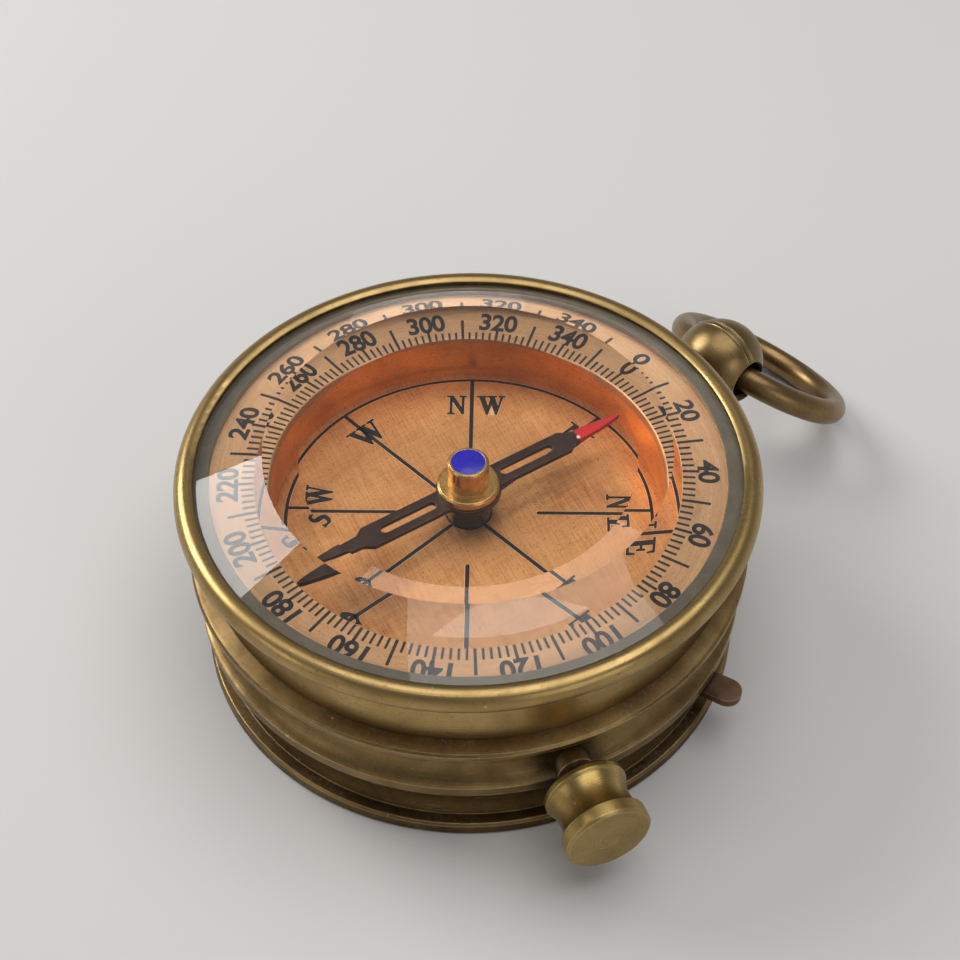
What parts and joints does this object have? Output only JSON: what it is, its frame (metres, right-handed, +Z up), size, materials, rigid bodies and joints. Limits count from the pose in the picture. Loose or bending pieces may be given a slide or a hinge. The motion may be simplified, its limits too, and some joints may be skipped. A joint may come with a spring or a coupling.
{
  "type": "magnetic compass",
  "caption": "Round brass pocket compass with a bevelled crystal, sunk dial, jewelled needle, needle lock, push button and a pendant with a carrying ring.",
  "frame": {"origin": "centre of the case's underside, on the surface it stands on", "axes": "+Z up through the needle's pivot, +Y towards the pendant and its ring (bearing 0), +X at bearing 90"},
  "size_m": [0.0662, 0.0859, 0.0269],
  "materials": {
    "case_brass": "aged lathe-turned brass, worn bright on the edges, dusty ledges",
    "screw_steel": "turned steel",
    "bezel_brass": "aged polished brass, bright on the roll",
    "crystal_glass": "polished bevelled glass",
    "gasket_rubber": "grey-green sealing band",
    "scale_copper": "brushed copper-toned brass with filled black divisions",
    "wall_copper": "polished copper-toned brass",
    "dial_copper": "brushed copper-toned brass with filled black lines",
    "plate_brass": "fine-grained brass",
    "pin_steel": "hardened and polished steel",
    "lifter_dark": "blackened steel",
    "spring_steel": "drawn spring wire",
    "lever_bronze": "dull brown bronze",
    "needle_steel": "blackened steel with a dark red north blade",
    "cap_brass": "polished brass",
    "jewel_blue": "polished blue stone",
    "knob_brass": "satin brass",
    "pendant_brass": "aged brass",
    "ring_brass": "aged brass wire, worn bright"
  },
  "bodies": {
    "case": {"case_body": "case_brass", "base_plate": "case_brass", "base_screws": "screw_steel", "bezel": "bezel_brass", "crystal": "crystal_glass", "crystal_gasket": "gasket_rubber", "degree_ring": "scale_copper", "dial_wall": "wall_copper", "dial_plate": "dial_copper", "movement_plate": "plate_brass", "plate_screws": "screw_steel", "pivot_post": "plate_brass", "pivot_pin": "pin_steel", "lifter_spring": "spring_steel", "lever_screw": "screw_steel", "lever_washer": "spring_steel", "button_bush": "plate_brass", "button_guide": "plate_brass", "button_spring": "spring_steel", "pendant_collar": "pendant_brass", "pendant_stem": "pendant_brass", "pendant_ball": "pendant_brass", "pendant_cap": "pendant_brass"},
    "lever": {"lock_lever": "lever_bronze"},
    "lifter": {"lifter_collar": "lifter_dark"},
    "needle": {"needle": "needle_steel", "needle_cap": "cap_brass", "needle_jewel": "jewel_blue"},
    "button": {"button_knob": "knob_brass", "button_rod": "pin_steel", "button_clip": "spring_steel"},
    "ring": {"bow_ring": "ring_brass"}
  },
  "joints": [
    {"name": "lever_turn", "type": "hinge", "parent": "case", "child": "lever", "pos_m": [0.01664, 0.00541, 0.0057], "axis": [0, 0, 1], "range_deg": [0, 14]},
    {"name": "lifter_rise", "type": "slide", "parent": "case", "child": "lifter", "axis": [0, 0, 1], "range_m": [0, 0.0008], "deforming": ["lifter_spring"]},
    {"name": "needle_turn", "type": "hinge", "parent": "lifter", "child": "needle", "pos_m": [0, 0, 0.02217], "axis": [0, 0, 1], "continuous": true},
    {"name": "button_push", "type": "slide", "parent": "case", "child": "button", "axis": [-0.9361, 0.3518, 0], "range_m": [0, 0.0014], "stiffness_N_per_m": 400, "springref_m": -0.002, "deforming": ["button_spring"]},
    {"name": "ring_swing", "type": "hinge", "parent": "case", "child": "ring", "pos_m": [0, 0.0389, 0.0135], "axis": [1, 0, 0], "range_deg": [0, 155]}
  ],
  "couplings": [
    {"joint": "lifter_rise", "follows": "lever_turn", "m_per_rad": 0.00327}
  ]
}
